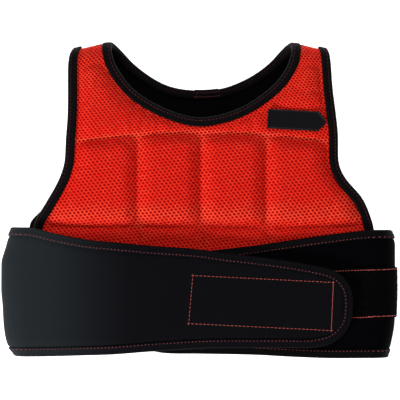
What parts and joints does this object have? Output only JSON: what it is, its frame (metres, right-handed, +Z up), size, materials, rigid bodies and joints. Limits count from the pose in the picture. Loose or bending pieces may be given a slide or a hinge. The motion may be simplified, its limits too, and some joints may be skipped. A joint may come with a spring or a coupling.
{
  "type": "weighted vest",
  "caption": "Sleeveless training vest with padded mesh panels that hold weights and a wide neoprene waist belt closed by hook and loop, lying flat on its back.",
  "frame": {"origin": "centre of the vest's outline in plan, on the surface it lies on", "axes": "+X towards the wearer's left side, +Y from the hem to the collar, +Z up out of the front of the vest"},
  "size_m": [0.3978, 0.3165, 0.0582],
  "materials": {
    "orange_mesh": "open knitted spacer mesh, matte",
    "black_lining": "plain black cloth, matte",
    "black_tape": "smooth knitted binding tape",
    "black_neoprene": "neoprene faced with fine jersey, soft sheen",
    "black_loop": "brushed loop tape, deep matte",
    "black_hook": "moulded hook tape",
    "black_rubber": "moulded soft tag with a raised rim"
  },
  "bodies": {
    "root": {"front_panel": "orange_mesh", "back_panel": "orange_mesh", "back_lining": "black_lining", "neck_tape": "black_tape", "neck_tape_lap": "black_tape", "arm_tape_left": "black_tape", "arm_tape_right": "black_tape", "belt_back": "black_neoprene", "over_wing": "black_neoprene", "over_wing_hem": "black_tape", "under_wing": "black_neoprene", "under_wing_hem": "black_tape", "loop_strip": "black_loop", "hook_patch": "black_hook", "chest_tag": "black_rubber"}
  },
  "joints": []
}
